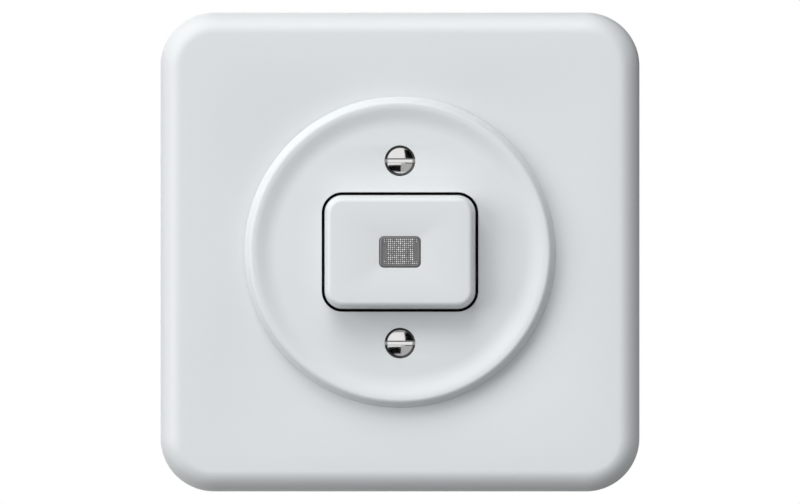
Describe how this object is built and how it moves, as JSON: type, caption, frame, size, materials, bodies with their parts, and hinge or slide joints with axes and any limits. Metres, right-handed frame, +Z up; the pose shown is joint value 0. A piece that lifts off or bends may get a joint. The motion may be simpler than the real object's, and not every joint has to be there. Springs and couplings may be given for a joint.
{
  "type": "push button light switch",
  "caption": "Flush wall push button with a square rounded cover frame, a dished round front plate, a rectangular button with a clear lamp window, and a contact lever behind.",
  "frame": {"origin": "centre of the two wall-box screws, on the wall plane, which is the centre of the cover frame's back", "axes": "+X right seen from the front, +Y into the wall, +Z up; the button faces -Y"},
  "size_m": [0.086, 0.0368, 0.086],
  "materials": {
    "white_gloss_plastic": "smooth moulded, low gloss",
    "black_plastic": "moulded, matt",
    "grey_thermoset": "moulded, slightly rough",
    "cream_plastic": "moulded, matt",
    "clear_window": "clear moulded plastic with a fine prism grid",
    "lamp_glass": "clear blown glass",
    "nickel_plated_screw": "polished plating",
    "steel_screw": "bright turned",
    "zinc_plated_steel": "rolled and plated",
    "spring_steel": "drawn wire",
    "turned_brass": "turned, bare",
    "strip_brass": "stamped, bare",
    "contact_silver": "dull silver"
  },
  "bodies": {
    "housing": {"cover_frame": "white_gloss_plastic", "front_plate": "white_gloss_plastic", "front_plate_screws": "nickel_plated_screw", "threaded_pillars": "turned_brass", "guide_housing": "black_plastic", "mounting_plate": "zinc_plated_steel", "switch_base": "grey_thermoset", "tie_screws": "steel_screw", "return_spring": "spring_steel", "lamp_holder": "cream_plastic", "indicator_lamp": "lamp_glass", "lamp_neutral_strip": "strip_brass", "lamp_live_strip": "strip_brass", "pivot_pin": "steel_screw", "lever_bracket": "strip_brass", "lever_spring": "spring_steel", "load_strip": "strip_brass", "fixed_contact": "contact_silver", "line_terminal": "turned_brass", "load_terminal": "turned_brass", "lamp_neutral_terminal": "turned_brass", "lamp_live_terminal": "turned_brass", "terminal_screws": "steel_screw"},
    "button": {"push_button": "white_gloss_plastic", "window_lens": "clear_window", "button_slider": "cream_plastic"},
    "contact_arm": {"contact_lever": "strip_brass", "moving_contact": "contact_silver"}
  },
  "joints": [
    {"name": "button_travel", "type": "slide", "parent": "housing", "child": "button", "axis": [0, 1, 0], "range_m": [0, 0.0032], "stiffness_N_per_m": 700, "springref_m": -0.004, "deforming": ["return_spring"]},
    {"name": "lever_swing", "type": "hinge", "parent": "housing", "child": "contact_arm", "pos_m": [-0.01333, 0.00853, 0.0086], "axis": [0, 0, 1], "range_deg": [0, 10.5], "deforming": ["lever_spring"]}
  ],
  "couplings": [
    {"joint": "lever_swing", "follows": "button_travel", "rad_per_m": 57.077}
  ]
}
